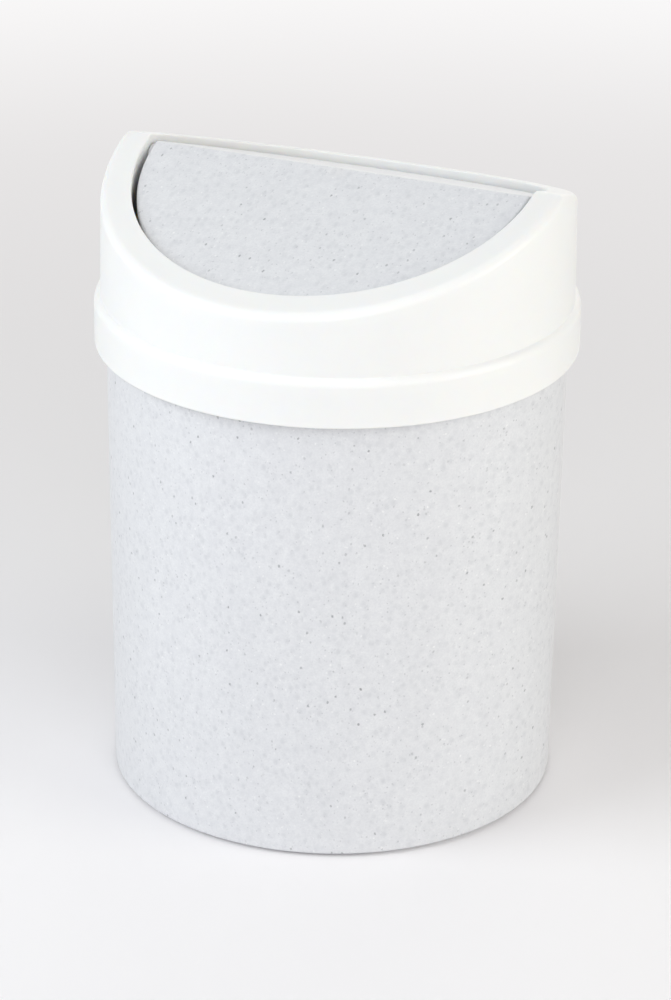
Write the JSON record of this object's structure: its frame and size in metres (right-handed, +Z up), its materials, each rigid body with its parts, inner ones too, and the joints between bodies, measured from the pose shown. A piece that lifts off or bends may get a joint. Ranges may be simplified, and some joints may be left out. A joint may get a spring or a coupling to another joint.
{
  "type": "countertop waste bin with swing lid",
  "caption": "Small round countertop bin: a tapered speckled bucket, a white push-on collar with a gable roof, and a free-swinging flap on moulded pins.",
  "frame": {"origin": "centre of the flat ring that the bucket stands on", "axes": "+Z up, X along the ridge of the lid and the flap's pivot axis, -Y towards the front that the picture shows"},
  "size_m": [0.124, 0.124, 0.1667],
  "materials": {
    "granite_pp": "moulded polypropylene with a fine satin face, pale grey with fine dark and light specks",
    "white_pp": "moulded polypropylene, plain white, satin"
  },
  "bodies": {
    "bucket": {"bucket": "granite_pp"},
    "collar": {"lid_collar": "white_pp"},
    "flap": {"swing_flap": "granite_pp"}
  },
  "joints": [
    {"name": "lid_lift", "type": "slide", "parent": "bucket", "child": "collar", "axis": [0, 0, 1], "range_m": [0, 0.05]},
    {"name": "flap_swing", "type": "hinge", "parent": "collar", "child": "flap", "pos_m": [0, 0, 0.1609], "axis": [1, 0, 0], "range_deg": [-80, 80]}
  ]
}
